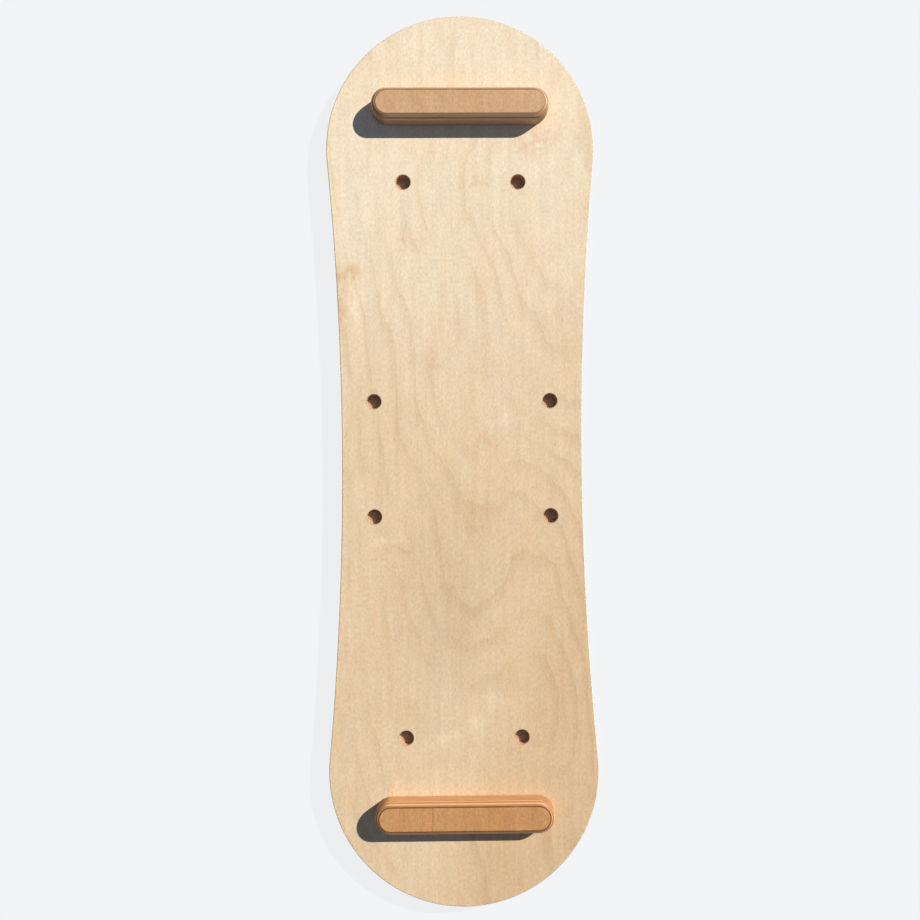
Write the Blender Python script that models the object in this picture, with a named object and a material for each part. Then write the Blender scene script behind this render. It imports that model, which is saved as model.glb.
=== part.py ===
"""Balance board in birch plywood: a waisted deck with round ends and two stop bars that plug into it.

The board lies with its roller side up, as it does while its stop bars are being set.
Units are metres. +Z is up, +Y runs along the board and +X across it.
The origin is on the surface the deck lies on, under the deck's centre.
"""

from math import atan2, cos, pi, sin

import bmesh
import bpy
from mathutils import Matrix

# Deck
DECK_LENGTH = 0.994
DECK_WIDTH = 0.300        # across the round ends, which are arcs of half this radius
DECK_WAIST = 0.268        # across the middle
DECK_THICKNESS = 0.018
DECK_EDGE_R = 0.001       # rounding of the deck's two rims

# Sockets in the deck's roller side. Every pair has the pegs' spacing.
PEG_SPACING = 0.1286
SOCKET_R = 0.008
SOCKET_DEPTH = 0.0075
SOCKET_CHAMFER = 0.0004
OUTER_ROW_INSET = 0.105   # from the deck's tip to the outer pair, across the board
ROW_STEP = 0.082          # from the outer pair to the inner pair
SIDE_INSET = 0.0357       # from the waist's edge to the side pairs, along the board

# Stop bars, with half-round ends
BAR_LENGTH = 0.197
BAR_WIDTH = 0.036
BAR_HEIGHT = 0.018
BAR_EDGE_R = 0.006        # rounding of the bar's upper rim
PEG_SEAT_DEPTH = 0.010    # how far a peg goes up into its bar

# Fits
CLEARANCE = 0.0003        # between touching faces, and all round a peg
PEG_CHAMFER = 0.001

# Fineness of the faceted shapes
END_STEPS = 24            # from the deck's tip to its widest point
DIP_STEPS = 2             # from there to the waist
WAIST_STEPS = 15          # along one side of the waist
BAR_END_STEPS = 9         # round a quarter of a bar's end
ROUND_STEPS = 32          # round a peg or a socket
EDGE_STEPS = 4            # across a rounded rim
WELD = 0.0000001          # points this close are one

# Worked out from the sizes above
END_R = DECK_WIDTH / 2
END_CENTRE = DECK_LENGTH / 2 - END_R
WAIST_HALF = DECK_WAIST / 2
OUTER_ROW = DECK_LENGTH / 2 - OUTER_ROW_INSET
INNER_ROW = OUTER_ROW - ROW_STEP
SIDE_COLUMN = WAIST_HALF - SIDE_INSET
PEG_R = SOCKET_R - CLEARANCE
BAR_BASE = DECK_THICKNESS + CLEARANCE
ENDS = {"front": -1, "back": 1}    # the stop bars' ends of the board, along Y
SIDES = {"left": -1, "right": 1}   # the pegs' sides, along X


def clear_scene():
    """Removes whatever the file opened with."""
    for old in list(bpy.data.objects):
        bpy.data.objects.remove(old, do_unlink=True)


def wood(name, colour, roughness):
    """A plain wood finish of one linear colour."""
    made = bpy.data.materials.new(name)
    made.use_nodes = True
    shader = made.node_tree.nodes["Principled BSDF"]
    shader.inputs["Base Color"].default_value = (*colour, 1)
    shader.inputs["Roughness"].default_value = roughness
    shader.inputs["Metallic"].default_value = 0
    made.diffuse_color = (*colour, 1)
    return made


def arc(centre, radius, start, end, steps):
    """Points from angle start to angle end about centre, both included."""
    angles = [start + (end - start) * i / steps for i in range(steps + 1)]
    return [(centre[0] + radius * cos(a), centre[1] + radius * sin(a)) for a in angles]


def deck_ribs():
    """The deck's outline as pairs of points across it, from the front tip to the back tip.

    The round ends run past their widest point to where a hollow waist arc meets them in one line.
    """
    squares = END_CENTRE ** 2 + WAIST_HALF ** 2 - END_R ** 2
    waist_r = squares / (2 * (END_R - WAIST_HALF))
    dip = atan2(END_CENTRE, WAIST_HALF + waist_r)
    tip_to_widest = arc((0, -END_CENTRE), END_R, -pi / 2, 0, END_STEPS)
    widest_to_waist = arc((0, -END_CENTRE), END_R, 0, dip, DIP_STEPS)
    front = tip_to_widest + widest_to_waist[1:]
    waist = arc((WAIST_HALF + waist_r, 0), waist_r, pi + dip, pi - dip, WAIST_STEPS)
    back = [(x, -y) for x, y in reversed(front)]
    return [((-x, y), (x, y)) for x, y in front + waist[1:-1] + back]


def bar_ribs(row):
    """A bar's outline as pairs of points across its width, from its left end to its right end, on the given row."""
    radius = BAR_WIDTH / 2
    reach = BAR_LENGTH / 2 - radius
    left = arc((-reach, 0), radius, pi, pi / 2, BAR_END_STEPS)
    right = [(-x, y) for x, y in reversed(left)]
    return [((x, row + y), (x, row - y)) for x, y in left + right]


def slab(ribs, low, high, rounded, radius):
    """A mesh of the ribs' outline from height low to height high, with the named rims rounded."""
    work = bmesh.new()
    rows = [[work.verts.new((x, y, low)) for x, y in pair] for pair in ribs]
    strips = [work.faces.new((a[0], a[1], b[1], b[0])) for a, b in zip(rows, rows[1:])]
    raised = bmesh.ops.extrude_face_region(work, geom=strips)["geom"]
    tops = [v for v in raised if isinstance(v, bmesh.types.BMVert)]
    bmesh.ops.translate(work, verts=tops, vec=(0, 0, high - low))
    bmesh.ops.remove_doubles(work, verts=work.verts, dist=WELD)
    bmesh.ops.recalc_face_normals(work, faces=work.faces)
    heights = {"low": low, "high": high}
    corners = [e for e in work.edges if len(e.link_faces) == 2 and e.calc_face_angle() > pi / 4]
    rims = [e for e in corners
            if any(all(abs(v.co.z - heights[r]) < WELD for v in e.verts) for r in rounded)]
    bmesh.ops.bevel(work, geom=rims, offset=radius, segments=EDGE_STEPS, profile=0.5,
                    affect="EDGES", clamp_overlap=False)
    mesh = bpy.data.meshes.new("slab")
    work.to_mesh(mesh)
    work.free()
    return mesh


def turned(profile, places):
    """A mesh of one turned shape at each place. The profile's (radius, height) points run upwards."""
    work = bmesh.new()
    for x, y in places:
        rings = []
        for radius, height in profile:
            points = arc((x, y), radius, 0, 2 * pi, ROUND_STEPS)[:-1]
            rings.append([work.verts.new((px, py, height)) for px, py in points])
        for lower, upper in zip(rings, rings[1:]):
            for i in range(ROUND_STEPS):
                j = (i + 1) % ROUND_STEPS
                work.faces.new((lower[i], lower[j], upper[j], upper[i]))
        work.faces.new(rings[0][::-1])
        work.faces.new(rings[-1])
    mesh = bpy.data.meshes.new("turned")
    work.to_mesh(mesh)
    work.free()
    return mesh


def place(name, mesh, parent=None, origin=(0, 0, 0), finish=None):
    """Puts a mesh that is modelled in world coordinates into the scene, with its object's origin at the given point."""
    mesh.name = name
    mesh.transform(Matrix.Translation([-c for c in origin]))
    mesh.shade_smooth()
    mesh.set_sharp_from_angle(angle=pi / 6)
    made = bpy.data.objects.new(name, mesh)
    bpy.context.scene.collection.objects.link(made)
    made.parent = parent
    made.location = origin if parent is None else [a - b for a, b in zip(origin, parent.location)]
    if finish:
        mesh.materials.append(finish)
    return made


def cut(target, name, mesh):
    """Cuts the mesh out of the target with a live Boolean."""
    cutter = place(name, mesh)
    cutter.hide_render = True
    cutter.display_type = "WIRE"
    boolean = target.modifiers.new(name, "BOOLEAN")
    boolean.operation = "DIFFERENCE"
    boolean.solver = "EXACT"
    boolean.object = cutter


def socket_places():
    """Where the twelve sockets are: an outer and an inner pair at each end, and one pair along each side."""
    half = PEG_SPACING / 2
    across = [(side * half, end * row)
              for end in ENDS.values() for row in (OUTER_ROW, INNER_ROW) for side in SIDES.values()]
    along = [(side * SIDE_COLUMN, end * half) for side in SIDES.values() for end in ENDS.values()]
    return across + along


def make_deck(finish):
    """The deck, with its sockets cut blind so that the face the rider stands on stays whole."""
    mesh = slab(deck_ribs(), 0, DECK_THICKNESS, ("low", "high"), DECK_EDGE_R)
    deck = place("deck", mesh, finish=finish)
    mouth = SOCKET_R + SOCKET_CHAMFER
    profile = [
        (SOCKET_R, DECK_THICKNESS - SOCKET_DEPTH),
        (SOCKET_R, DECK_THICKNESS - SOCKET_CHAMFER),
        (mouth, DECK_THICKNESS),
        (mouth, DECK_THICKNESS + SOCKET_CHAMFER),
    ]
    cut(deck, "socket_cutter", turned(profile, socket_places()))


def make_stop(end, bar_finish, peg_finish):
    """One stop: an empty on its lifting axis, the bar, and the two pegs glued into it."""
    row = ENDS[end] * OUTER_ROW
    lift = bpy.data.objects.new(f"{end}_stop_lift", None)
    bpy.context.scene.collection.objects.link(lift)
    lift.location = (0, row, BAR_BASE)

    mesh = slab(bar_ribs(row), BAR_BASE, BAR_BASE + BAR_HEIGHT, ("high",), BAR_EDGE_R)
    bar = place(f"{end}_stop_bar", mesh, lift, (0, row, BAR_BASE), bar_finish)

    foot = DECK_THICKNESS - SOCKET_DEPTH + PEG_CHAMFER
    seat_top = BAR_BASE + PEG_SEAT_DEPTH
    seat_r = PEG_R + CLEARANCE
    seats = [(seat_r, BAR_BASE - PEG_CHAMFER), (seat_r, seat_top)]
    pegs = {side: (sign * PEG_SPACING / 2, row) for side, sign in SIDES.items()}
    cut(bar, f"{end}_seat_cutter", turned(seats, list(pegs.values())))

    profile = [
        (PEG_R - PEG_CHAMFER, foot),
        (PEG_R, foot + PEG_CHAMFER),
        (PEG_R, seat_top - CLEARANCE),
    ]
    for side, (x, y) in pegs.items():
        place(f"{end}_stop_peg_{side}", turned(profile, [(x, y)]), lift, (x, y, BAR_BASE), peg_finish)


def main():
    """Builds the board."""
    clear_scene()
    deck_finish = wood("deck_birch", (0.80, 0.62, 0.40), 0.55)
    bar_finish = wood("oiled_birch", (0.56, 0.30, 0.13), 0.45)
    peg_finish = wood("peg_beech", (0.62, 0.42, 0.24), 0.5)
    make_deck(deck_finish)
    for end in ENDS:
        make_stop(end, bar_finish, peg_finish)
    bpy.context.view_layer.update()


main()
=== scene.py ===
"""The looks of a birch plywood balance board: a waisted deck, two plug-in stop bars and their pegs.

Lengths are metres in the board's own frame: +Z is up through the deck to its roller side, +Y runs along the
board and +X across it. Every piece is drawn as whole numpy arrays, as a profile carried round an outline or a
turned profile, and dressed in procedural plywood whose plies are layered through the sheet's real thickness.
"""

import logging
from dataclasses import dataclass, field
from enum import Enum
from math import atan2, cos, pi, radians, sin
from typing import Callable, Iterable, Sequence, Union

import bmesh
import bpy
import numpy as np
from bpy.types import ID, Material, Mesh, Node, NodeSocket as Socket, NodeTree, Object, Scene
from mathutils import Euler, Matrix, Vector
from mathutils.geometry import delaunay_2d_cdt


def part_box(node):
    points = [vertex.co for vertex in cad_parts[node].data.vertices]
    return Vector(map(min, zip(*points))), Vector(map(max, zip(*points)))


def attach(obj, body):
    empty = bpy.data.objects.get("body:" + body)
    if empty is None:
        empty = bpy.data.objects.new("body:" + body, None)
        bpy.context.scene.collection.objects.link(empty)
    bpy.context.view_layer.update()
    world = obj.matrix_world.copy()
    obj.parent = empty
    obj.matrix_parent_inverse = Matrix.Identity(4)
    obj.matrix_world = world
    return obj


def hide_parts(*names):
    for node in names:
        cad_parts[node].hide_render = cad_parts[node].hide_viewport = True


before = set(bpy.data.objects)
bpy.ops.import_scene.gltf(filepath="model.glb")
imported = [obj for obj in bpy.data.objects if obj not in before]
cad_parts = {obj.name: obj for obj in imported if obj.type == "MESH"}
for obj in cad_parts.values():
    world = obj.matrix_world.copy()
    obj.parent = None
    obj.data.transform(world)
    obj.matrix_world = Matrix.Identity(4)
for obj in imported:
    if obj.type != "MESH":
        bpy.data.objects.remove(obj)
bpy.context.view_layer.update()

LOG = logging.getLogger("balance_board")
MILLIMETRE = 0.001
WELD = 0.000002           # points this close are one point
SHARP = radians(28)       # a crease sharper than this keeps a hard edge

Colour = tuple[float, float, float]
Feed = Union[Socket, float, Sequence[float]]
Reader = Callable[[str], Socket]      # gives a group's socket by its name


class Side(Enum):
    """The face of a plate that a hole opens through."""

    TOP = 1
    BASE = -1


class Skin(Enum):
    """The two kinds of surface on a plate: sawn and sanded faces and rims, and drilled holes."""

    SANDED = 0
    DRILLED = 1


# ---------------------------------------------------------------- surfaces


@dataclass
class Surface:
    """Points with quads and triangles over them, and the skin of every face."""

    points: np.ndarray
    quads: np.ndarray
    triangles: np.ndarray
    skin: Skin = Skin.SANDED

    @staticmethod
    def grid(points: np.ndarray, skin: Skin = Skin.SANDED) -> "Surface":
        """Covers a grid of points with quads, closed round its columns.

        Args:
            points: An array of rows by columns by 3. Column j + 1 follows column j round the shape.
            skin: What the surface is made like.

        Returns:
            The surface. The quad (r, c) joins rows r and r + 1 at columns c and c + 1.
        """
        rows, columns = points.shape[:2]
        index = np.arange(rows * columns).reshape(rows, columns)
        after = np.roll(index, -1, axis=1)
        quads = np.stack([index[:-1], after[:-1], after[1:], index[1:]], axis=-1).reshape(-1, 4)
        return Surface(points.reshape(-1, 3), quads, np.zeros((0, 3), int), skin)


def into_mesh(name: str, parts: Sequence[Surface]) -> Mesh:
    """Joins surfaces into one closed mesh whose faces point outwards.

    Args:
        name: The mesh's name.
        parts: Surfaces whose borders share their points.

    Returns:
        The mesh, welded, smooth shaded, with hard edges at its creases and the skins as material indices.
    """
    starts = np.cumsum([0] + [len(p.points) for p in parts])
    faces: list[list[int]] = []
    skins: list[int] = []
    for start, part in zip(starts, parts):
        for block in (part.quads, part.triangles):
            faces += (block + start).tolist()
            skins += [part.skin.value] * len(block)
    mesh = bpy.data.meshes.new(name)
    mesh.from_pydata(np.concatenate([p.points for p in parts]).tolist(), [], faces)
    mesh.polygons.foreach_set("material_index", np.array(skins, np.int32))
    weld_and_turn_out(mesh)
    mesh.shade_smooth()
    mesh.set_sharp_from_angle(angle=SHARP)
    return mesh


def weld_and_turn_out(mesh: Mesh) -> None:
    """Merges the points that coincide and turns every face outwards.

    Args:
        mesh: The mesh, which is changed in place.
    """
    work = bmesh.new()
    work.from_mesh(mesh)
    bmesh.ops.remove_doubles(work, verts=work.verts, dist=WELD)
    bmesh.ops.dissolve_degenerate(work, edges=work.edges, dist=WELD)
    bmesh.ops.recalc_face_normals(work, faces=work.faces)
    work.to_mesh(mesh)
    work.free()


def arc(centre: tuple[float, float], radius: float, start: float, end: float, steps: int) -> np.ndarray:
    """Points on a circle: the centre plus radius times (cos a, sin a), for even angles from start to end."""
    angles = np.linspace(start, end, steps + 1)
    return np.stack([centre[0] + radius * np.cos(angles), centre[1] + radius * np.sin(angles)], axis=-1)


def quarter(steps: int) -> tuple[np.ndarray, np.ndarray]:
    """The run (1 - cos a) and rise (sin a) of a quarter circle that starts upright, for even angles."""
    angles = np.linspace(0, pi / 2, steps + 1)
    return 1 - np.cos(angles), np.sin(angles)


@dataclass(frozen=True)
class WaistedOutline:
    """Two round ends joined by two long hollow arcs that meet them in one line."""

    length: float
    width: float
    waist: float
    end_steps: int = 176
    waist_steps: int = 110

    def loop(self, inset: float) -> np.ndarray:
        """The closed outline, drawn in by an inset.

        The waist arc's radius w follows from the two circles touching: its centre is w + waist / 2 from the
        middle, and w + r from an end's centre. An inset shortens the end radius and lengthens the waist's.

        Args:
            inset: How far inside the true outline the loop runs.

        Returns:
            An array of points by 2, anticlockwise from the right of the back end.
        """
        r, half = self.width / 2, self.waist / 2
        end = self.length / 2 - r
        w = (end ** 2 + half ** 2 - r ** 2) / (2 * (r - half))
        dip = atan2(end, half + w)
        back = arc((0, end), r - inset, -dip, pi + dip, self.end_steps)
        left = arc((-half - w, 0), w + inset, dip, -dip, self.waist_steps)
        return np.concatenate([back[:-1], left[:-1], -back[:-1], -left[:-1]])


@dataclass(frozen=True)
class BarOutline:
    """A straight bar with half-round ends, centred on a point."""

    length: float
    width: float
    y: float
    end_steps: int = 48
    side_steps: int = 24

    def loop(self, inset: float) -> np.ndarray:
        """The closed outline: two half circles of the width, joined by straight sides.

        Args:
            inset: How far inside the true outline the loop runs.

        Returns:
            An array of points by 2, anticlockwise from the foot of the right end.
        """
        r = self.width / 2
        reach = self.length / 2 - r
        right = arc((reach, 0), r - inset, -pi / 2, pi / 2, self.end_steps)
        along = np.linspace(reach, -reach, self.side_steps + 1)[1:-1]
        top = np.stack([along, np.full_like(along, r - inset)], axis=-1)
        loop = np.concatenate([right, top, -right, -top])
        return loop + (0, self.y)


@dataclass(frozen=True)
class Hole:
    """A blind drilled hole."""

    x: float
    y: float
    radius: float
    depth: float
    chamfer: float
    opens: Side
    steps: int = 72

    def ring(self, radius: float) -> np.ndarray:
        """The circle of the given radius about the hole's axis."""
        return arc((self.x, self.y), radius, 0, 2 * pi, self.steps)[:-1]

    def surface(self, mouth_height: float, hold: float) -> Surface:
        """The hole as a turned profile.

        The profile goes from a flat ring round the mouth, over the chamfer and down the wall in even steps,
        across the floor, and down a last shallow cone, which is the drill's point, to the axis.

        Args:
            mouth_height: The height of the plate's face at the mouth.
            hold: The width of the flat ring that keeps the plate's face shaded flat.

        Returns:
            The hole's surface.
        """
        way = -self.opens.value
        wide = self.radius + self.chamfer
        wall = np.linspace(self.chamfer, self.depth - 0.3 * MILLIMETRE, 12)
        radii = np.concatenate([
            [wide + hold, wide], np.full(wall.size, self.radius),
            self.radius * np.array([0.965, 0.6, 0.22]), [0.001 * MILLIMETRE],
        ])
        depths = np.concatenate([[0, 0], wall, np.full(3, self.depth), [self.depth + 0.25 * MILLIMETRE]])
        rings = np.stack([self.ring(r) for r in radii])
        heights = np.broadcast_to((mouth_height + way * depths)[:, None, None], rings.shape[:2] + (1,))
        return Surface.grid(np.concatenate([rings, heights], axis=-1), Skin.DRILLED)


@dataclass
class Plate:
    """A sheet cut to an outline, with rounded rims and blind holes."""

    outline: Union[WaistedOutline, BarOutline]
    low: float
    high: float
    low_round: float
    high_round: float
    holes: list[Hole] = field(default_factory=list)
    round_steps: int = 14
    wall_steps: int = 10
    hold: float = 0.5 * MILLIMETRE
    spacing: float = 12 * MILLIMETRE

    def rim(self) -> Surface:
        """The rims and the wall: a profile of insets and heights carried round the outline.

        The profile runs from a flat strip on the base, round the lower rim's quarter circle, up the wall and
        round the upper rim's quarter circle, to a flat strip on the top.

        Returns:
            The surface, a grid of profile points by outline points.
        """
        run, rise = quarter(self.round_steps)
        insets = np.concatenate([
            [self.low_round + self.hold], self.low_round * run[::-1],
            np.zeros(self.wall_steps - 1), self.high_round * run, [self.high_round + self.hold],
        ])
        foot, head = self.low + self.low_round, self.high - self.high_round
        heights = np.concatenate([
            [self.low], foot - self.low_round * rise[::-1],
            np.linspace(foot, head, self.wall_steps + 1)[1:-1],
            head + self.high_round * rise, [self.high],
        ])
        loops = np.stack([self.outline.loop(i) for i in insets])
        tall = np.broadcast_to(heights[:, None, None], loops.shape[:2] + (1,))
        return Surface.grid(np.concatenate([loops, tall], axis=-1))

    def face(self, side: Side) -> Surface:
        """The flat face of one side: a triangulation between the rim's strip and the holes' rings.

        Even triangles come from a lattice of points in rows half a step apart, less those outside the strip,
        within a hole's ring, or too near either.

        Args:
            side: Which face.

        Returns:
            The surface.
        """
        top = side is Side.TOP
        height = self.high if top else self.low
        edge = self.outline.loop((self.high_round if top else self.low_round) + self.hold)
        open_holes = [h for h in self.holes if h.opens is side]
        rings = [h.ring(h.radius + h.chamfer + self.hold) for h in open_holes]
        loops = [edge, *rings]
        inner = self.lattice(edge, open_holes)
        points = np.concatenate([*loops, inner])
        starts = np.cumsum([0] + [len(loop) for loop in loops])
        edges = np.concatenate([
            np.stack([np.arange(n), np.roll(np.arange(n), -1)], axis=-1) + start
            for start, n in zip(starts, (len(loop) for loop in loops))
        ])
        found = delaunay_2d_cdt([Vector(p) for p in points], edges.tolist(), [], 1, 1e-7)
        flat = np.array([tuple(v) for v in found[0]])
        triangles = np.array(found[2])
        middles = flat[triangles].mean(axis=1)
        kept = within(middles, edge)
        for hole in open_holes:
            away = np.hypot(middles[:, 0] - hole.x, middles[:, 1] - hole.y)
            kept &= away > hole.radius + hole.chamfer + self.hold
        solid = np.concatenate([flat, np.full((len(flat), 1), height)], axis=-1)
        return Surface(solid, np.zeros((0, 4), int), triangles[kept])

    def lattice(self, edge: np.ndarray, holes: Iterable[Hole]) -> np.ndarray:
        """Points in staggered rows that lie well inside the edge and outside the holes.

        Args:
            edge: The closed loop that the points stay inside.
            holes: The holes that they stay clear of.

        Returns:
            An array of points by 2.
        """
        low, high = edge.min(axis=0), edge.max(axis=0)
        rows = np.arange(low[1], high[1], self.spacing * 0.87)
        columns = np.arange(low[0], high[0], self.spacing)
        x, y = np.meshgrid(columns, rows)
        x = x + (np.arange(len(rows)) % 2)[:, None] * self.spacing / 2
        points = np.stack([x.ravel(), y.ravel()], axis=-1)
        gaps = np.hypot(*(points[:, None] - edge[None]).transpose(2, 0, 1)).min(axis=1)
        kept = within(points, edge) & (gaps > self.spacing * 0.45)
        for hole in holes:
            away = np.hypot(points[:, 0] - hole.x, points[:, 1] - hole.y)
            kept &= away > hole.radius + hole.chamfer + self.spacing * 0.4
        return points[kept]

    def mesh(self, name: str) -> Mesh:
        """The whole plate as one closed mesh."""
        heights = {Side.TOP: self.high, Side.BASE: self.low}
        drilled = [h.surface(heights[h.opens], self.hold) for h in self.holes]
        return into_mesh(name, [self.rim(), self.face(Side.TOP), self.face(Side.BASE), *drilled])


def within(points: np.ndarray, loop: np.ndarray) -> np.ndarray:
    """Whether each point is inside a closed loop: a ray to its right crosses it an odd number of times.

    Args:
        points: An array of points by 2.
        loop: The loop's corners in order, also by 2.

    Returns:
        One truth value for each point.
    """
    x, y = points[:, 0:1], points[:, 1:2]
    a, b = loop, np.roll(loop, -1, axis=0)
    straddles = (a[:, 1] > y) != (b[:, 1] > y)
    slope = (b[:, 0] - a[:, 0]) / np.where(b[:, 1] == a[:, 1], 1, b[:, 1] - a[:, 1])
    crossing = a[:, 0] + (y - a[:, 1]) * slope
    return (straddles & (x < crossing)).sum(axis=1) % 2 == 1


def turned(name: str, centre: tuple[float, float], profile: np.ndarray, steps: int) -> Mesh:
    """A turned piece: every (radius, height) point of the profile swept once round the axis.

    Args:
        name: The mesh's name.
        centre: Where the axis stands.
        profile: An array of points by 2, from one end's middle to the other's.
        steps: Points round the axis.

    Returns:
        The mesh.
    """
    angles = np.arange(steps) * 2 * pi / steps
    radii, heights = profile[:, 0:1], profile[:, 1:2]
    x = centre[0] + radii * np.cos(angles)
    y = centre[1] + radii * np.sin(angles)
    z = np.broadcast_to(heights, x.shape)
    return into_mesh(name, [Surface.grid(np.stack([x, y, z], axis=-1))])


# ---------------------------------------------------------------- shader graphs


class Graph:
    """A node tree with short ways to add the nodes that a wood finish needs."""

    def __init__(self, tree: NodeTree) -> None:
        """Wraps the tree."""
        self.tree = tree

    def add(self, kind: str, **settings: object) -> Node:
        """Adds a node of a kind and sets its own properties."""
        node = self.tree.nodes.new(kind)
        for name, value in settings.items():
            setattr(node, name, value)
        return node

    def feed(self, socket: Socket, value: Feed) -> None:
        """Links a socket, or sets a plain value, into an input."""
        if isinstance(value, Socket):
            self.tree.links.new(value, socket)
        elif isinstance(value, (int, float)) or socket.type != "RGBA":
            socket.default_value = value
        else:
            socket.default_value = (*value[:3], 1)

    def math(self, operation: str, a: Feed, b: Feed = 0.0, c: Feed = 0.0, clamp: bool = False) -> Socket:
        """One arithmetic step."""
        node = self.add("ShaderNodeMath", operation=operation, use_clamp=clamp)
        for socket, value in zip(node.inputs, (a, b, c)):
            self.feed(socket, value)
        return node.outputs[0]

    def vector(self, operation: str, a: Feed, b: Feed = (0, 0, 0)) -> Socket:
        """One vector step that gives a vector."""
        node = self.add("ShaderNodeVectorMath", operation=operation)
        self.feed(node.inputs[0], a)
        self.feed(node.inputs[1], b)
        return node.outputs[0]

    def mix(self, share: Feed, a: Feed, b: Feed, blend: str = "MIX") -> Socket:
        """Two colours mixed by a share."""
        node = self.add("ShaderNodeMix", data_type="RGBA", blend_type=blend)
        self.feed(node.inputs[0], share)
        self.feed(node.inputs[6], a)
        self.feed(node.inputs[7], b)
        return node.outputs[2]

    def step(self, value: Feed, low: float, high: float, to_low: float = 0.0, to_high: float = 1.0) -> Socket:
        """A smooth step of a value from low to high."""
        node = self.add("ShaderNodeMapRange", interpolation_type="SMOOTHSTEP")
        for socket, given in zip(node.inputs, (value, low, high, to_low, to_high)):
            self.feed(socket, given)
        return node.outputs[0]

    def noise(self, place: Feed, stretch: Sequence[float], detail: float = 2.0, rough: float = 0.5,
              warp: float = 0.0) -> Socket:
        """Noise from 0 to 1 whose frequency along each axis is given, in cycles a metre."""
        node = self.add("ShaderNodeTexNoise", noise_dimensions="3D")
        self.feed(node.inputs["Vector"], self.vector("MULTIPLY", place, stretch))
        self.feed(node.inputs["Scale"], 1.0)
        self.feed(node.inputs["Detail"], detail)
        self.feed(node.inputs["Roughness"], rough)
        self.feed(node.inputs["Distortion"], warp)
        return node.outputs["Fac"]

    def split(self, value: Socket) -> Sequence[Socket]:
        """The X, Y and Z of a vector."""
        node = self.add("ShaderNodeSeparateXYZ")
        self.feed(node.inputs[0], value)
        return node.outputs

    def bump(self, height: Feed, strength: float, rise: float) -> Socket:
        """A normal bent by a height map.

        Args:
            height: The height, in units of the rise.
            strength: How much of the bend is kept.
            rise: How far a height of 1 stands up, in metres.

        Returns:
            The normal.
        """
        node = self.add("ShaderNodeBump")
        node.inputs["Strength"].default_value = strength
        node.inputs["Distance"].default_value = rise
        self.feed(node.inputs["Height"], height)
        return node.outputs[0]

    def group(self, tree: NodeTree, **inputs: Feed) -> Reader:
        """Places a shared group and returns a way to read its outputs by name."""
        node = self.add("ShaderNodeGroup", node_tree=tree)
        for name, value in inputs.items():
            self.feed(node.inputs[name.replace("_", " ")], value)
        return lambda name: node.outputs[name]


def shared_group(name: str, inputs: dict[str, str],
                 outputs: Sequence[str]) -> tuple[Graph, Reader, Node]:
    """Starts a shader node group.

    Args:
        name: The group's name.
        inputs: Input names with their kinds, Float, Vector or Color.
        outputs: Output names, which are all floats.

    Returns:
        The group's graph, a way to read its inputs by name, and its output node.
    """
    tree = bpy.data.node_groups.new(name, "ShaderNodeTree")
    for label, kind in inputs.items():
        tree.interface.new_socket(label, in_out="INPUT", socket_type=f"NodeSocket{kind}")
    for label in outputs:
        tree.interface.new_socket(label, in_out="OUTPUT", socket_type="NodeSocketFloat")
    graph = Graph(tree)
    entry = graph.add("NodeGroupInput")
    return graph, lambda label: entry.outputs[label], graph.add("NodeGroupOutput")


def close_group(g: Graph, out: Node, values: dict[str, Socket]) -> NodeTree:
    """Feeds a group's outputs by their names, and returns the group."""
    for label, value in values.items():
        g.feed(out.inputs[label], value)
    return g.tree


@dataclass(frozen=True)
class Swells:
    """How many growth rings deep the knife ran as the veneer was peeled.

    The depth is a slope across the sheet plus a bell-shaped swell at each crossing of the rows and columns.
    Growth lines are its contours.
    """

    columns: tuple[float, ...] = (-0.09, 0.0, 0.09)
    rows: tuple[float, ...] = (0.40, 0.29, 0.18, 0.07, -0.04, -0.15, -0.26, -0.37)
    reach: tuple[float, float] = (0.062, 0.080)
    slope: tuple[float, float] = (28.6, 9.2)
    depths: tuple[tuple[float, ...], ...] = (
        (0.2, 0.4, 0.8), (1.0, 1.8, 2.6), (0.8, 0.8, 1.9), (0.9, 2.2, 1.5),
        (1.5, 0.9, -0.8), (0.7, 1.9, -1.3), (1.4, 0.3, -2.1), (1.9, -0.4, -0.6),
    )

    @staticmethod
    def bell(g: Graph, value: Socket, middle: float, reach: float) -> Socket:
        """A bell curve: e to the minus square of the distance from the middle over the reach."""
        away = g.math("DIVIDE", g.math("SUBTRACT", value, middle), reach)
        return g.math("EXPONENT", g.math("MULTIPLY", g.math("MULTIPLY", away, away), -1.0))

    def depth(self, g: Graph, place: Socket) -> Socket:
        """The depth at a place on the sheet.

        Args:
            g: The graph the nodes go in.
            place: The place in metres.

        Returns:
            The depth in rings.
        """
        x, y, _ = g.split(place)
        across = [self.bell(g, x, column, self.reach[0]) for column in self.columns]
        total = g.math("MULTIPLY_ADD", x, self.slope[0], g.math("MULTIPLY", y, self.slope[1]))
        for row, depths in zip(self.rows, self.depths):
            line: Feed = 0.0
            for curve, depth in zip(across, depths):
                line = g.math("MULTIPLY_ADD", curve, depth, line)
            total = g.math("MULTIPLY_ADD", self.bell(g, y, row, self.reach[1]), line, total)
        return total


@dataclass(frozen=True)
class Mark:
    """A soft mark left in the veneer by a bud or a twig: its middle, its reach and its strength."""

    x: float
    y: float
    reach_x: float
    reach_y: float
    strength: float


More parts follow.
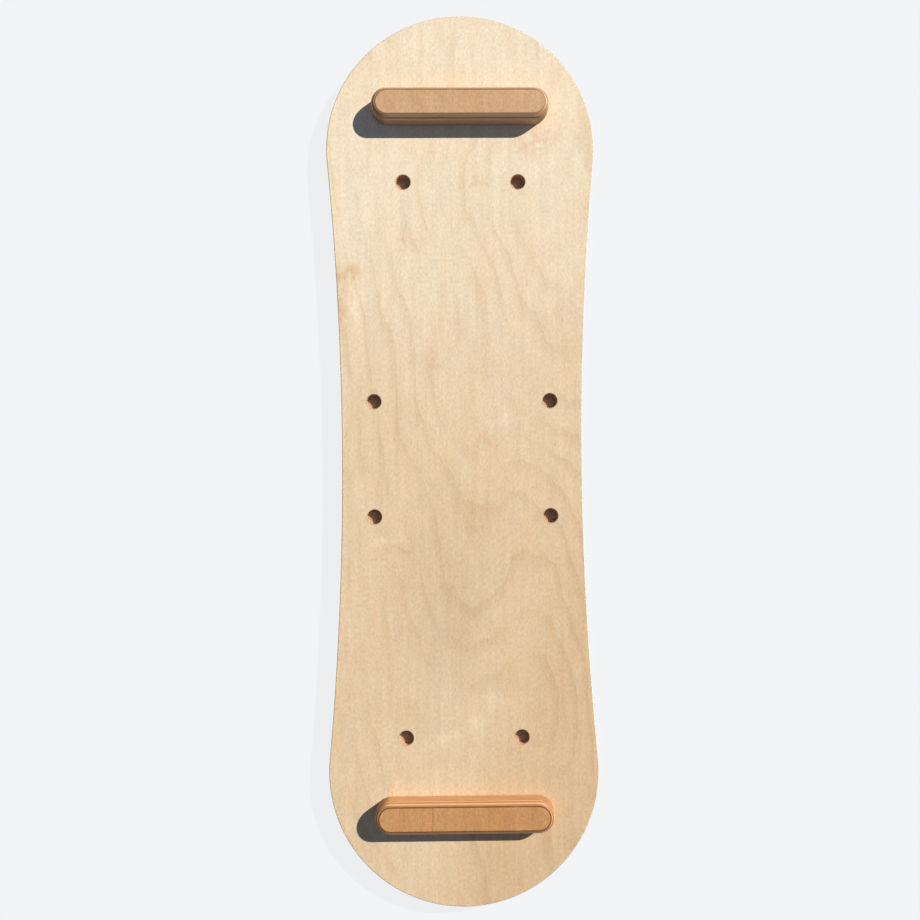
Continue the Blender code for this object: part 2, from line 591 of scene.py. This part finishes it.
DARK_MARKS = (
    Mark(-0.129, 0.205, 0.014, 0.007, 1.0), Mark(-0.135, 0.168, 0.006, 0.020, 0.7),
    Mark(0.025, 0.021, 0.009, 0.008, 0.5), Mark(0.022, 0.310, 0.010, 0.006, 0.7),
    Mark(-0.063, 0.243, 0.0028, 0.012, 0.9), Mark(-0.070, -0.099, 0.010, 0.004, 0.7),
    Mark(-0.033, 0.105, 0.009, 0.016, 0.5), Mark(0.104, 0.020, 0.005, 0.004, 0.6),
    Mark(0.085, 0.358, 0.032, 0.018, 0.55),
)
PALE_MARKS = (
    Mark(-0.113, 0.186, 0.012, 0.008, 0.8), Mark(-0.117, 0.160, 0.006, 0.018, 0.9),
    Mark(0.048, 0.040, 0.011, 0.006, 0.9), Mark(-0.087, -0.088, 0.014, 0.006, 1.0),
    Mark(-0.020, -0.312, 0.020, 0.006, 0.8), Mark(0.015, -0.293, 0.007, 0.014, 0.7),
    Mark(0.035, -0.268, 0.012, 0.006, 0.6), Mark(0.127, -0.235, 0.004, 0.012, 0.8),
    Mark(-0.052, 0.075, 0.010, 0.012, 0.4), Mark(0.012, 0.222, 0.014, 0.016, 0.4),
)


def veneer_figure() -> NodeTree:
    """Peeled birch veneer with its grain along Y.

    Place is in metres, and Seed moves to another part of the log. Growth darkens slowly towards each contour
    of the swells and clears at once past it, as late wood does before the next spring. Fibre and Streak are
    noise drawn out along the grain, Cloud, Mottle and Blush are patches, Fleck is rare short marks, and Dark
    and Pale are the bud marks.

    Returns:
        The node group.
    """
    outputs = ("Growth", "Fibre", "Streak", "Cloud", "Mottle", "Blush", "Fleck", "Dark", "Pale")
    g, given, out = shared_group("veneer_figure", {"Place": "Vector", "Seed": "Float"}, outputs)
    seed = g.add("ShaderNodeCombineXYZ")
    g.feed(seed.inputs[0], given("Seed"))
    g.feed(seed.inputs[1], g.math("MULTIPLY", given("Seed"), 1.7))
    place = g.vector("ADD", given("Place"), seed.outputs[0])
    depth = Swells().depth(g, place)
    depth = g.math("MULTIPLY_ADD", g.noise(place, (34, 9, 0), 2.0, 0.5), 0.9, depth)
    depth = g.math("MULTIPLY_ADD", g.noise(place, (120, 30, 0), 1.0, 0.5), 0.3, depth)
    late = g.math("FRACT", depth)
    line = g.math("MULTIPLY", g.step(late, 0.52, 0.95), g.step(late, 1.0, 0.955))
    strength = g.step(g.noise(place, (12, 4.5, 0), 1.0), 0.36, 0.62)
    values = {
        "Growth": g.math("MULTIPLY", line, strength),
        "Fibre": g.noise(place, (430, 255, 0), 2.0, 0.6),
        "Streak": g.noise(place, (170, 9.0, 0), 2.0, 0.55),
        "Cloud": g.noise(place, (8.5, 5.0, 0), 2.0, 0.5, 0.4),
        "Mottle": g.noise(place, (75, 38, 0), 2.0, 0.55, 0.3),
        "Blush": g.noise(g.vector("ADD", place, (3.1, 7.7, 0)), (44, 17, 0), 2.0, 0.6, 0.8),
        "Fleck": g.step(g.noise(place, (330, 95, 0), 1.0, 0.4), 0.73, 0.80),
        "Dark": bud_marks(g, place, DARK_MARKS),
        "Pale": bud_marks(g, place, PALE_MARKS),
    }
    return close_group(g, out, values)


def bud_marks(g: Graph, place: Socket, marks: Sequence[Mark]) -> Socket:
    """The marks, each a bell curve in both directions on a place that wavers, broken up by fine noise.

    Args:
        g: The graph the nodes go in.
        place: The place in metres.
        marks: The marks.

    Returns:
        How strongly a place is marked, from 0 to 1.
    """
    waver = g.add("ShaderNodeTexNoise", noise_dimensions="3D")
    g.feed(waver.inputs["Vector"], g.vector("MULTIPLY", place, (60, 45, 0)))
    g.feed(waver.inputs["Scale"], 1.0)
    g.feed(waver.inputs["Detail"], 2.0)
    centred = g.vector("SUBTRACT", waver.outputs["Color"], (0.5, 0.5, 0.5))
    shift = g.vector("MULTIPLY", centred, (0.03, 0.04, 0))
    x, y, _ = g.split(g.vector("ADD", place, shift))
    total: Feed = 0.0
    for mark in marks:
        across = Swells.bell(g, x, mark.x, mark.reach_x)
        along = Swells.bell(g, y, mark.y, mark.reach_y)
        total = g.math("MULTIPLY_ADD", g.math("MULTIPLY", across, along), mark.strength, total)
    patches = g.step(g.noise(place, (140, 110, 0), 2.0), 0.25, 0.6)
    return g.math("MULTIPLY", total, patches, clamp=True)


def ply_stack() -> NodeTree:
    """The plies of a sheet, read by depth below its upper face.

    Each sheet has a thin sanded veneer outside and equal plies inside, with their grain along Y and X in
    turn. End is how squarely the surface cuts the ply's fibres, Glue is a thin line at each joint, Pore is
    the speckle of cut fibres, and Shade is each ply's own tone. The joints waver a little along the edge.

    Returns:
        The node group.
    """
    inputs = {"Place": "Vector", "Facing": "Vector", "Top": "Float", "Veneer": "Float", "Ply": "Float"}
    g, given, out = shared_group("ply_stack", inputs, ("End", "Glue", "Pore", "Shade"))
    _, _, z = g.split(given("Place"))
    waver = g.math("SUBTRACT", g.noise(given("Place"), (22, 22, 300), 1.0), 0.5)
    below = g.math("SUBTRACT", g.math("SUBTRACT", given("Top"), z), given("Veneer"))
    below = g.math("MULTIPLY_ADD", waver, 0.22 * MILLIMETRE, below)
    count = g.math("DIVIDE", below, given("Ply"))
    layer = g.math("ADD", g.math("FLOOR", count), 1.0)
    cross = g.math("MODULO", layer, 2.0)
    joint = g.math("ABSOLUTE", g.math("SUBTRACT", g.math("FRACT", count), 0.5))
    nx, ny, _ = g.split(given("Facing"))
    along = g.math("MULTIPLY", g.math("ABSOLUTE", ny), g.math("SUBTRACT", 1.0, cross))
    across = g.math("MULTIPLY", g.math("ABSOLUTE", nx), cross)
    white = g.add("ShaderNodeTexWhiteNoise", noise_dimensions="1D")
    g.feed(white.inputs["W"], layer)
    values = {
        "End": g.math("ADD", along, across),
        "Glue": g.step(joint, 0.41, 0.47),
        "Pore": g.noise(given("Place"), (1500, 1500, 1500), 1.0, 0.6),
        "Shade": white.outputs["Value"],
    }
    return close_group(g, out, values)


def handling() -> NodeTree:
    """The uneven sheen of a handled surface: broad smudges and fine scuffs, each from 0 to 1.

    Returns:
        The node group.
    """
    g, given, out = shared_group("handling", {"Place": "Vector"}, ("Smudge", "Scuff"))
    return close_group(g, out, {
        "Smudge": g.step(g.noise(given("Place"), (11, 9, 20), 3.0, 0.55, 0.5), 0.35, 0.7),
        "Scuff": g.step(g.noise(given("Place"), (260, 340, 260), 2.0, 0.6), 0.45, 0.75),
    })


@dataclass(frozen=True)
class Groups:
    """The shared node groups."""

    figure: NodeTree
    plies: NodeTree
    handling: NodeTree

    @staticmethod
    def build() -> "Groups":
        """Makes each group once."""
        return Groups(veneer_figure(), ply_stack(), handling())


# ---------------------------------------------------------------- finishes


@dataclass(frozen=True)
class Sheet:
    """Where a plywood sheet's layers lie: its upper face, thickness, outer veneer and ply count."""

    top: float
    thickness: float
    veneer: float = 0.85 * MILLIMETRE
    inner_plies: int = 11

    @property
    def ply(self) -> float:
        """The thickness of one inner ply."""
        return (self.thickness - 2 * self.veneer) / self.inner_plies

    def plies(self, g: Graph, groups: Groups, place: Socket, facing: Socket) -> Reader:
        """Reads the ply stack of this sheet at a place on a surface that faces a given way."""
        return g.group(groups.plies, Place=place, Facing=facing, Top=self.top, Veneer=self.veneer,
                       Ply=self.ply)


@dataclass(frozen=True)
class PlywoodTints:
    """The linear colours of a finished sheet."""

    face: Colour
    far_face: Colour      # the face's colour towards the front end
    cloud: Colour
    blush: Colour
    growth: Colour
    dark_mark: Colour
    pale_mark: Colour
    long_grain: Colour
    end_grain: Colour
    glue: Colour
    singed: Colour = (0.12, 0.035, 0.012)   # the line the cutter leaves where the rounded rim starts


@dataclass(frozen=True)
class PlywoodFinish:
    """Sanded plywood under a matt or oiled finish."""

    name: str
    sheet: Sheet
    tints: PlywoodTints
    roughness: float
    seed: float
    growth_strength: float
    fibre_strength: float
    edge_line: float      # how dark the line is where the flat face breaks into a rounded rim
    gloss: float          # the strength of the mirror-like part of its shine, which is 0.5 on bare varnish
    coat: float = 0.0
    grain_lines: tuple[tuple[float, float], ...] = ()   # dark lines along Y: each one's X, and how dark

    def material(self, groups: Groups) -> Material:
        """Builds the material: the face's figure over the plies, chosen by the height within the sheet.

        The lower face shows the figure turned half round.

        Args:
            groups: The shared node groups.

        Returns:
            The material.
        """
        made, g, shader = start_material(self.name)
        spot = g.add("ShaderNodeTexCoord")
        place, facing = spot.outputs["Object"], spot.outputs["Normal"]
        under = g.math("LESS_THAN", g.split(place)[2], self.sheet.top - self.sheet.thickness / 2)
        turn = self.grey(g, g.math("MULTIPLY_ADD", under, -2.0, 1.0))
        figure = g.group(groups.figure, Place=g.vector("MULTIPLY", place, turn), Seed=self.seed)
        plies = self.sheet.plies(g, groups, place, facing)
        touch = g.group(groups.handling, Place=place)
        face = self.face_colour(g, place, figure)
        colour = self.edge_colour(g, facing, face, plies)
        colour = self.break_line(g, place, colour)
        g.feed(shader.inputs["Base Color"], colour)

        dull = g.math("MULTIPLY_ADD", touch("Smudge"), -0.07, self.roughness)
        dull = g.math("MULTIPLY_ADD", plies("End"), 0.12, dull)
        g.feed(shader.inputs["Roughness"], g.math("MULTIPLY_ADD", touch("Scuff"), 0.05, dull, clamp=True))
        shader.inputs["Specular IOR Level"].default_value = self.gloss
        shader.inputs["Coat Weight"].default_value = self.coat
        shader.inputs["Coat Roughness"].default_value = 0.35
        self.relief(g, shader, figure, plies)
        return made

    def face_colour(self, g: Graph, place: Socket, figure: Reader) -> Socket:
        """The face veneer's colour: a base that drifts along the board, with clouds, blush, lines and fibres.

        Each tint is multiplied in by its own share. Then one grey shade takes in the darker heart that runs
        down the middle of the board's front half, the flecks, the grain lines and the fibres.

        Args:
            g: The graph the nodes go in.
            place: The place in metres.
            figure: Reads the veneer figure.

        Returns:
            The colour.
        """
        t = self.tints
        x, y, _ = g.split(place)
        # the far colour comes in twice: down the board, and again in its front right corner
        down = g.step(g.math("MULTIPLY_ADD", x, -0.35, y), 0.40, -0.10)
        corner = g.step(g.math("MULTIPLY_ADD", y, -0.35, x), 0.11, 0.21)
        far = g.math("MULTIPLY_ADD", corner, 0.34, g.math("MULTIPLY", down, 0.66))
        colour = g.mix(far, t.face, t.far_face)
        shares = (
            (g.math("MULTIPLY", g.step(figure("Cloud"), 0.36, 0.68), 0.55), t.cloud),
            (g.step(figure("Blush"), 0.3, 0.75), t.blush),
            (g.math("MULTIPLY", figure("Growth"), self.growth_strength), t.growth),
            (figure("Dark"), t.dark_mark),
            (figure("Pale"), t.pale_mark),
        )
        for share, tint in shares:
            colour = g.mix(share, colour, g.mix(1.0, colour, tint, "MULTIPLY"))
        heart = g.math("MULTIPLY", Swells.bell(g, x, -0.02, 0.045), Swells.bell(g, y, -0.17, 0.10))
        shade: Feed = g.math("MULTIPLY_ADD", heart, -0.09, 1.0)
        shade = g.math("MULTIPLY_ADD", figure("Fleck"), -0.12, shade)
        for crossing, darkness in self.grain_lines:
            waver = g.math("SUBTRACT", g.noise(place, (25, 60, 0), 2.0), 0.5)
            near = g.math("MULTIPLY_ADD", waver, 2.5 * MILLIMETRE, x)
            line = Swells.bell(g, near, crossing, 0.8 * MILLIMETRE)
            shade = g.math("MULTIPLY", shade, g.math("MULTIPLY_ADD", line, -darkness, 1.0))
        for name, strength in (("Fibre", self.fibre_strength), ("Streak", 0.4 * self.fibre_strength),
                               ("Mottle", 0.35 * self.fibre_strength)):
            swing = g.math("MULTIPLY_ADD", figure(name), strength, 1 - 0.5 * strength)
            shade = g.math("MULTIPLY", shade, swing)
        return g.vector("MULTIPLY", colour, self.grey(g, shade))

    @staticmethod
    def grey(g: Graph, value: Socket) -> Socket:
        """A value as an even vector, which scales a colour without tinting it."""
        node = g.add("ShaderNodeCombineXYZ")
        for socket in node.inputs:
            g.feed(socket, value)
        return node.outputs[0]

    def edge_colour(self, g: Graph, facing: Socket, face: Socket, plies: Reader) -> Socket:
        """The face's colour, giving way on rims and walls to long grain, end grain and glue lines.

        Args:
            g: The graph the nodes go in.
            facing: The surface's normal.
            face: The face's colour.
            plies: Reads the ply stack.

        Returns:
            The colour.
        """
        t = self.tints
        _, _, up = g.split(facing)
        upright = g.step(g.math("ABSOLUTE", up), 0.9995, 0.965)
        shade = g.math("MULTIPLY_ADD", plies("Shade"), 0.16, 0.92)
        wood = g.mix(g.step(plies("End"), 0.05, 0.5), t.long_grain, t.end_grain)
        pores = g.math("MULTIPLY", plies("End"), g.step(plies("Pore"), 0.48, 0.68))
        wood = g.mix(g.math("MULTIPLY", pores, 0.35), wood, t.glue)
        wood = g.vector("MULTIPLY", wood, self.grey(g, shade))
        wood = g.mix(g.math("MULTIPLY", plies("Glue"), 0.8), wood, t.glue)
        return g.mix(upright, face, wood)

    def break_line(self, g: Graph, place: Socket, colour: Socket) -> Socket:
        """Darkens the shallow line just below the upper face, where the rounded rim starts.

        Args:
            g: The graph the nodes go in.
            place: The place in metres.
            colour: The colour so far.

        Returns:
            The colour with the line in it.
        """
        _, _, z = g.split(place)
        below = g.math("SUBTRACT", self.sheet.top, z)
        begins = g.step(below, 0.005 * MILLIMETRE, 0.05 * MILLIMETRE)
        ends = g.step(below, 0.45 * MILLIMETRE, 0.2 * MILLIMETRE)
        worn = g.step(g.noise(place, (45, 45, 0), 2.0), 0.15, 0.55, 0.7)
        line = g.math("MULTIPLY", g.math("MULTIPLY", g.math("MULTIPLY", begins, ends), worn), self.edge_line)
        return g.mix(line, colour, self.tints.singed)

    def relief(self, g: Graph, shader: Node, figure: Reader, plies: Reader) -> None:
        """Fine relief: raised fibres on the faces, sunk glue lines and pores on the edges.

        Args:
            g: The graph the nodes go in.
            shader: The Principled shader.
            figure: Reads the veneer figure.
            plies: Reads the ply stack.
        """
        grain = g.math("MULTIPLY_ADD", figure("Fibre"), 0.6, figure("Streak"))
        sunk = g.math("MULTIPLY_ADD", plies("Glue"), -0.8, grain)
        sunk = g.math("MULTIPLY_ADD", g.math("MULTIPLY", plies("Pore"), plies("End")), 0.9, sunk)
        g.feed(shader.inputs["Normal"], g.bump(sunk, 0.22, 0.12 * MILLIMETRE))


@dataclass(frozen=True)
class DrilledFinish:
    """The rough, browned wall of a hole drilled through the plies."""

    name: str
    sheet: Sheet
    floor: Colour
    long_grain: Colour
    end_grain: Colour
    glue: Colour

    def material(self, groups: Groups) -> Material:
        """Builds the material: the plies as rings round the hole, with fine drill marks.

        Args:
            groups: The shared node groups.

        Returns:
            The material.
        """
        made, g, shader = start_material(self.name)
        spot = g.add("ShaderNodeTexCoord")
        place, facing = spot.outputs["Object"], spot.outputs["Normal"]
        plies = self.sheet.plies(g, groups, place, facing)
        wood = g.mix(g.step(plies("End"), 0.1, 0.8), self.long_grain, self.end_grain)
        level = g.step(g.math("ABSOLUTE", g.split(facing)[2]), 0.5, 0.9)
        wood = g.mix(level, wood, self.floor)
        wood = g.mix(g.math("MULTIPLY", plies("Pore"), 0.35), wood, self.glue)
        wood = g.mix(g.math("MULTIPLY", plies("Glue"), 0.75), wood, self.glue)
        g.feed(shader.inputs["Base Color"], wood)
        g.feed(shader.inputs["Roughness"], g.math("MULTIPLY_ADD", plies("Pore"), 0.2, 0.62))
        marks = g.noise(place, (60, 60, 5200), 1.0)
        sunk = g.math("MULTIPLY_ADD", plies("Glue"), -0.5, marks)
        g.feed(shader.inputs["Normal"], g.bump(sunk, 0.4, 0.1 * MILLIMETRE))
        return made


@dataclass(frozen=True)
class DowelFinish:
    """Turned beech: straight grain up the peg, with short dark rays."""

    name: str
    pale: Colour
    dark: Colour
    seed: float

    def material(self, groups: Groups) -> Material:
        """Builds the material: grain drawn out along Z, and rays on the side.

        Args:
            groups: The shared node groups.

        Returns:
            The material.
        """
        made, g, shader = start_material(self.name)
        place = g.add("ShaderNodeTexCoord").outputs["Object"]
        place = g.vector("ADD", place, (self.seed, 0, 0))
        grain = g.noise(place, (420, 420, 14), 3.0, 0.6)
        rays = g.step(g.noise(place, (900, 900, 210), 1.0, 0.4), 0.66, 0.76)
        wood = g.mix(g.step(grain, 0.3, 0.7), self.pale, self.dark)
        wood = g.mix(g.math("MULTIPLY", rays, 0.5), wood, self.dark)
        g.feed(shader.inputs["Base Color"], wood)
        touch = g.group(groups.handling, Place=place)
        g.feed(shader.inputs["Roughness"], g.math("MULTIPLY_ADD", touch("Scuff"), 0.12, 0.5))
        g.feed(shader.inputs["Normal"], g.bump(grain, 0.25, 0.1 * MILLIMETRE))
        return made


def start_material(name: str) -> tuple[Material, Graph, Node]:
    """A new material with its graph and its Principled shader."""
    made = bpy.data.materials.new(name)
    made.use_nodes = True
    return made, Graph(made.node_tree), made.node_tree.nodes["Principled BSDF"]


# ---------------------------------------------------------------- the board


def placed(name: str, data: ID) -> Object:
    """A new object in the scene."""
    made = bpy.data.objects.new(name, data)
    bpy.context.scene.collection.objects.link(made)
    return made


def show(name: str, mesh: Mesh, body: str,
         finishes: Sequence[Material]) -> Object:
    """Puts a finished piece in the scene in place of its CAD node.

    Args:
        name: The CAD node it stands for. The piece is named after it.
        mesh: Its mesh, in the board's frame.
        body: The body it rides on.
        finishes: Its materials, by skin.

    Returns:
        The piece.
    """
    for finish in finishes:
        mesh.materials.append(finish)
    piece = placed(f"{name}_finished", mesh)
    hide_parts(name)
    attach(piece, body)
    LOG.info("%s: %d faces on %s", piece.name, len(mesh.polygons), body)
    return piece


@dataclass
class Sockets:
    """The drilled sockets and the rows they stand in."""

    spacing: float = 0.1286
    radius: float = 0.008
    depth: float = 0.0075
    chamfer: float = 0.0004
    row_step: float = 0.082
    side_inset: float = 0.0357

    def holes(self, outer_row: float, waist: float) -> list[Hole]:
        """All twelve: an outer and an inner pair at each end, and a pair along each side of the waist.

        Args:
            outer_row: How far the outer pairs are from the middle of the board.
            waist: The deck's width across its middle.

        Returns:
            The holes.
        """
        half = self.spacing / 2
        column = waist / 2 - self.side_inset
        across = [(side * half, end * row)
                  for row in (outer_row, outer_row - self.row_step) for end in (-1, 1) for side in (-1, 1)]
        along = [(side * column, end * half) for side in (-1, 1) for end in (-1, 1)]
        return [Hole(x, y, self.radius, self.depth, self.chamfer, Side.TOP) for x, y in across + along]


@dataclass
class Deck:
    """The waisted deck."""

    sockets: Sockets = field(default_factory=Sockets)
    waist: float = 0.268
    rim_round: float = 0.001

    def build(self, outer_row: float, groups: Groups) -> None:
        """Draws and dresses the deck to the CAD deck's own box.

        Args:
            outer_row: How far the stops' rows are from the middle of the board.
            groups: The shared node groups.
        """
        low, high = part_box("deck")
        outline = WaistedOutline(high.y - low.y, high.x - low.x, self.waist)
        holes = self.sockets.holes(outer_row, self.waist)
        plate = Plate(outline, low.z, high.z, self.rim_round, self.rim_round, holes)
        sheet = Sheet(high.z, high.z - low.z)
        birch = PlywoodFinish(
            "pale_birch_plywood", sheet,
            PlywoodTints(
                face=(0.872, 0.735, 0.537), far_face=(0.684, 0.49, 0.294), cloud=(0.95, 0.925, 0.88),
                blush=(1.0, 0.955, 0.92), growth=(0.80, 0.72, 0.62), dark_mark=(0.86, 0.70, 0.60),
                pale_mark=(1.11, 1.16, 1.20), long_grain=(0.66, 0.56, 0.43), end_grain=(0.46, 0.36, 0.25),
                glue=(0.20, 0.12, 0.07),
            ),
            roughness=0.7, seed=0.0, growth_strength=0.36, fibre_strength=0.46, edge_line=0.0,
            gloss=0.15,
        )
        drilled = DrilledFinish("drilled_birch", sheet, (0.50, 0.375, 0.225), (0.76, 0.45, 0.28),
                                (0.60, 0.32, 0.19), (0.20, 0.085, 0.045))
        show("deck", plate.mesh("deck_finished"), "deck",
             [birch.material(groups), drilled.material(groups)])


@dataclass
class Stop:
    """One stop: an oiled plywood bar with half-round ends, and the two dowels glued into it."""

    end: str
    tints: PlywoodTints
    seed: float
    edge_line: float
    grain_lines: tuple[tuple[float, float], ...] = ()
    rim_round: float = 0.006
    base_round: float = 0.0003
    seat_radius: float = 0.008
    seat_depth: float = 0.010
    seat_chamfer: float = 0.0002
    peg_chamfer: float = 0.001

    def build(self, groups: Groups) -> None:
        """Draws and dresses the bar and its pegs to their CAD nodes' boxes.

        Args:
            groups: The shared node groups.
        """
        body = f"{self.end}_stop"
        name = f"{body}_bar"
        low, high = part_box(name)
        row = (low.y + high.y) / 2
        pegs = [f"{body}_peg_{side}" for side in ("left", "right")]
        seats = [Hole((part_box(p)[0].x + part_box(p)[1].x) / 2, row, self.seat_radius, self.seat_depth,
                      self.seat_chamfer, Side.BASE) for p in pegs]
        outline = BarOutline(high.x - low.x, high.y - low.y, row)
        plate = Plate(outline, low.z, high.z, self.base_round, self.rim_round, seats,
                      spacing=5 * MILLIMETRE)
        sheet = Sheet(high.z, high.z - low.z)
        oiled = PlywoodFinish(
            f"oiled_birch_{self.end}", sheet, self.tints, roughness=0.55, seed=self.seed,
            growth_strength=0.22, fibre_strength=0.66, edge_line=self.edge_line, gloss=0.35, coat=0.03,
            grain_lines=self.grain_lines,
        )
        drilled = DrilledFinish(f"drilled_seat_{self.end}", sheet, (0.40, 0.24, 0.13), (0.40, 0.20, 0.10),
                                (0.25, 0.11, 0.05), (0.08, 0.035, 0.02))
        show(name, plate.mesh(f"{name}_finished"), body,
             [oiled.material(groups), drilled.material(groups)])
        dowel = DowelFinish(f"beech_dowel_{self.end}", (0.60, 0.38, 0.21), (0.44, 0.25, 0.12), self.seed)
        beech = dowel.material(groups)
        for peg in pegs:
            self.peg(peg, body, beech)

    def peg(self, name: str, body: str, finish: Material) -> None:
        """One dowel: flat ends, a rounded edge at its foot and a small one at its head.

        Args:
            name: The CAD node.
            body: The body it rides on.
            finish: Its material.
        """
        low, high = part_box(name)
        centre = ((low.x + high.x) / 2, (low.y + high.y) / 2)
        radius = (high.x - low.x) / 2
        foot, head = self.peg_chamfer, 0.3 * self.peg_chamfer
        run, rise = quarter(8)
        side = np.linspace(low.z + foot, high.z - head, 16)[1:-1]
        profile = np.concatenate([
            np.stack([np.linspace(0, radius - foot, 5)[:-1], np.full(4, low.z)], axis=-1),
            np.stack([radius - foot * run[::-1], low.z + foot - foot * rise[::-1]], axis=-1),
            np.stack([np.full(side.size, radius), side], axis=-1),
            np.stack([radius - head * run, high.z - head + head * rise], axis=-1),
            np.stack([np.linspace(radius - head, 0, 5)[1:], np.full(4, high.z)], axis=-1),
        ])
        show(name, turned(f"{name}_finished", centre, profile, 64), body, [finish])


# ---------------------------------------------------------------- the studio


@dataclass(frozen=True)
class Studio:
    """A pale floor, one low key light with crisp shadows, a soft cool fill, and the camera overhead."""

    sun_elevation: float = 30.2        # degrees
    sun_heading: float = 34.9          # degrees from +X towards +Y
    sun_strength: float = 5.9
    sun_angle: float = 0.9
    camera_place: tuple[float, float, float] = (-0.0107, -0.0103, 0.848)
    camera_turn: tuple[float, float, float] = (0.615, -0.555, -0.391)   # degrees
    camera_lens: float = 29.11

    def build(self) -> None:
        """Makes the floor, the lights and the camera."""
        scene = bpy.context.scene
        scene.view_settings.view_transform = "Standard"
        self.floor()
        self.key()
        self.sky(scene)
        camera = placed("camera", bpy.data.cameras.new("camera"))
        camera.data.lens = self.camera_lens
        camera.location = self.camera_place
        camera.rotation_euler = Euler([radians(a) for a in self.camera_turn])
        scene.camera = camera

    def floor(self) -> None:
        """A wide pale floor that glows, so that shadows on it stay faint, and is clear seen from below."""
        half = 12.0
        mesh = bpy.data.meshes.new("floor")
        corners = [(-half, -half), (half, -half), (half, half), (-half, half)]
        mesh.from_pydata([(x, y, -0.3 * MILLIMETRE) for x, y in corners], [], [(0, 1, 2, 3)])
        made, g, shader = start_material("pale_floor")
        shader.inputs["Base Color"].default_value = (0.05, 0.05, 0.05, 1)
        shader.inputs["Roughness"].default_value = 1.0
        shader.inputs["Specular IOR Level"].default_value = 0.0
        shader.inputs["Emission Color"].default_value = (0.955, 0.965, 0.985, 1)
        shader.inputs["Emission Strength"].default_value = 0.875
        one_way = g.add("ShaderNodeMixShader")
        g.feed(one_way.inputs[0], g.add("ShaderNodeNewGeometry").outputs["Backfacing"])
        g.feed(one_way.inputs[1], shader.outputs[0])
        g.feed(one_way.inputs[2], g.add("ShaderNodeBsdfTransparent").outputs[0])
        g.feed(made.node_tree.nodes["Material Output"].inputs["Surface"], one_way.outputs[0])
        mesh.materials.append(made)
        placed("floor", mesh)

    def key(self) -> None:
        """The key light, a far one, low over the board's back right corner."""
        light = bpy.data.lights.new("key", "SUN")
        light.energy = self.sun_strength
        light.color = (1.0, 0.965, 0.90)
        light.angle = radians(self.sun_angle)
        tilt, heading = radians(self.sun_elevation), radians(self.sun_heading)
        towards = Vector((cos(tilt) * cos(heading), cos(tilt) * sin(heading), sin(tilt)))
        placed("key", light).rotation_euler = towards.to_track_quat("Z", "Y").to_euler()

    def sky(self, scene: Scene) -> None:
        """A dim cool fill from above, brighter towards the horizon, which the camera sees plain and pale.

        Args:
            scene: The scene whose world this becomes.
        """
        world = bpy.data.worlds.new("studio")
        world.use_nodes = True
        scene.world = world
        g = Graph(world.node_tree)
        background = world.node_tree.nodes["Background"]
        _, _, up = g.split(g.add("ShaderNodeTexCoord").outputs["Generated"])
        level = g.step(g.math("ABSOLUTE", up), 0.04, 0.4)
        fill = g.mix(level, (0.42, 0.44, 0.48), (0.095, 0.132, 0.205))
        seen = g.add("ShaderNodeLightPath").outputs["Is Camera Ray"]
        g.feed(background.inputs["Color"], g.mix(seen, fill, (0.89, 0.896, 0.913)))


def stop_tints(face: Colour, long_grain: Colour, end_grain: Colour) -> PlywoodTints:
    """The tints of an oiled bar, whose face colour doesn't drift.

    Args:
        face: The face veneer's colour.
        long_grain: The colour of plies cut along their grain.
        end_grain: The colour of plies cut across it.

    Returns:
        The tints.
    """
    return PlywoodTints(
        face=face, far_face=face, cloud=(0.92, 0.86, 0.80), blush=(1.0, 0.93, 0.88),
        growth=(0.80, 0.68, 0.55), dark_mark=(0.8, 0.66, 0.55), pale_mark=(1.1, 1.1, 1.1),
        long_grain=long_grain, end_grain=end_grain, glue=(0.13, 0.045, 0.018),
    )


def main() -> None:
    """Builds the studio and the board, piece by piece."""
    logging.basicConfig(level=logging.INFO, format="%(name)s: %(message)s")
    groups = Groups.build()
    Studio().build()
    low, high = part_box("back_stop_bar")
    Deck().build((low.y + high.y) / 2, groups)
    back = stop_tints((0.625, 0.395, 0.215), (0.66, 0.43, 0.245), (0.40, 0.215, 0.105))
    front = stop_tints((0.58, 0.305, 0.125), (0.64, 0.35, 0.155), (0.40, 0.185, 0.07))
    Stop("back", back, seed=5.2, edge_line=0.7).build(groups)
    lines = ((-0.035, 0.29), (0.026, 0.08), (-0.071, 0.07))
    Stop("front", front, seed=9.6, edge_line=0.9, grain_lines=lines).build(groups)


if __name__ == "__main__":
    main()
